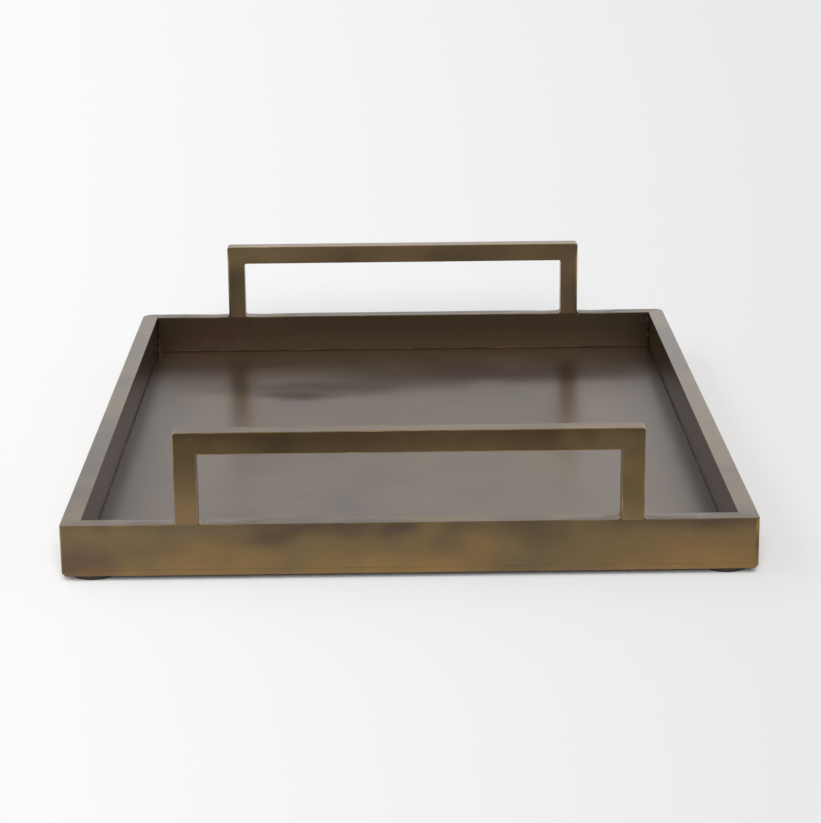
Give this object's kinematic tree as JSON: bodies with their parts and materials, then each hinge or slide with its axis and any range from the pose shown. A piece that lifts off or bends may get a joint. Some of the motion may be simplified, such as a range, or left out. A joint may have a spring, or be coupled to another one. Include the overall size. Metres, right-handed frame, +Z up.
{
  "type": "serving tray",
  "caption": "Rectangular brass serving tray with a flat floor, low straight rails, an upright rectangular handle on each end and round rubber feet.",
  "frame": {"origin": "middle of the tray's footprint on the table, at the underside of the feet", "axes": "+Z up; +Y along the tray's length from the near handle to the far handle; +X to the right seen from the near end"},
  "size_m": [0.356, 0.457, 0.0794],
  "materials": {
    "floor_brass": "brushed antique brass, dulled",
    "patina_brass": "antique brass patina, satin, edges burnished",
    "braze_metal": "brass braze metal, cleaned bright",
    "foot_rubber": "matte black rubber",
    "foot_adhesive": "clear to milky acrylic adhesive film"
  },
  "bodies": {
    "root": {"base_plate": "floor_brass", "rail_near": "patina_brass", "rail_far": "patina_brass", "rail_left": "patina_brass", "rail_right": "patina_brass", "near_handle_left_post": "patina_brass", "near_handle_right_post": "patina_brass", "near_handle_grip": "patina_brass", "far_handle_left_post": "patina_brass", "far_handle_right_post": "patina_brass", "far_handle_grip": "patina_brass", "corner_braze_near_left": "braze_metal", "corner_braze_near_right": "braze_metal", "corner_braze_far_left": "braze_metal", "corner_braze_far_right": "braze_metal", "floor_braze_near": "braze_metal", "floor_braze_far": "braze_metal", "floor_braze_left": "braze_metal", "floor_braze_right": "braze_metal", "post_braze_near_left": "braze_metal", "post_braze_near_right": "braze_metal", "post_braze_far_left": "braze_metal", "post_braze_far_right": "braze_metal", "grip_braze_near_left": "braze_metal", "grip_braze_near_right": "braze_metal", "grip_braze_far_left": "braze_metal", "grip_braze_far_right": "braze_metal", "foot_near_left": "foot_rubber", "foot_near_right": "foot_rubber", "foot_far_left": "foot_rubber", "foot_far_right": "foot_rubber", "adhesive_near_left": "foot_adhesive", "adhesive_near_right": "foot_adhesive", "adhesive_far_left": "foot_adhesive", "adhesive_far_right": "foot_adhesive"}
  },
  "joints": []
}
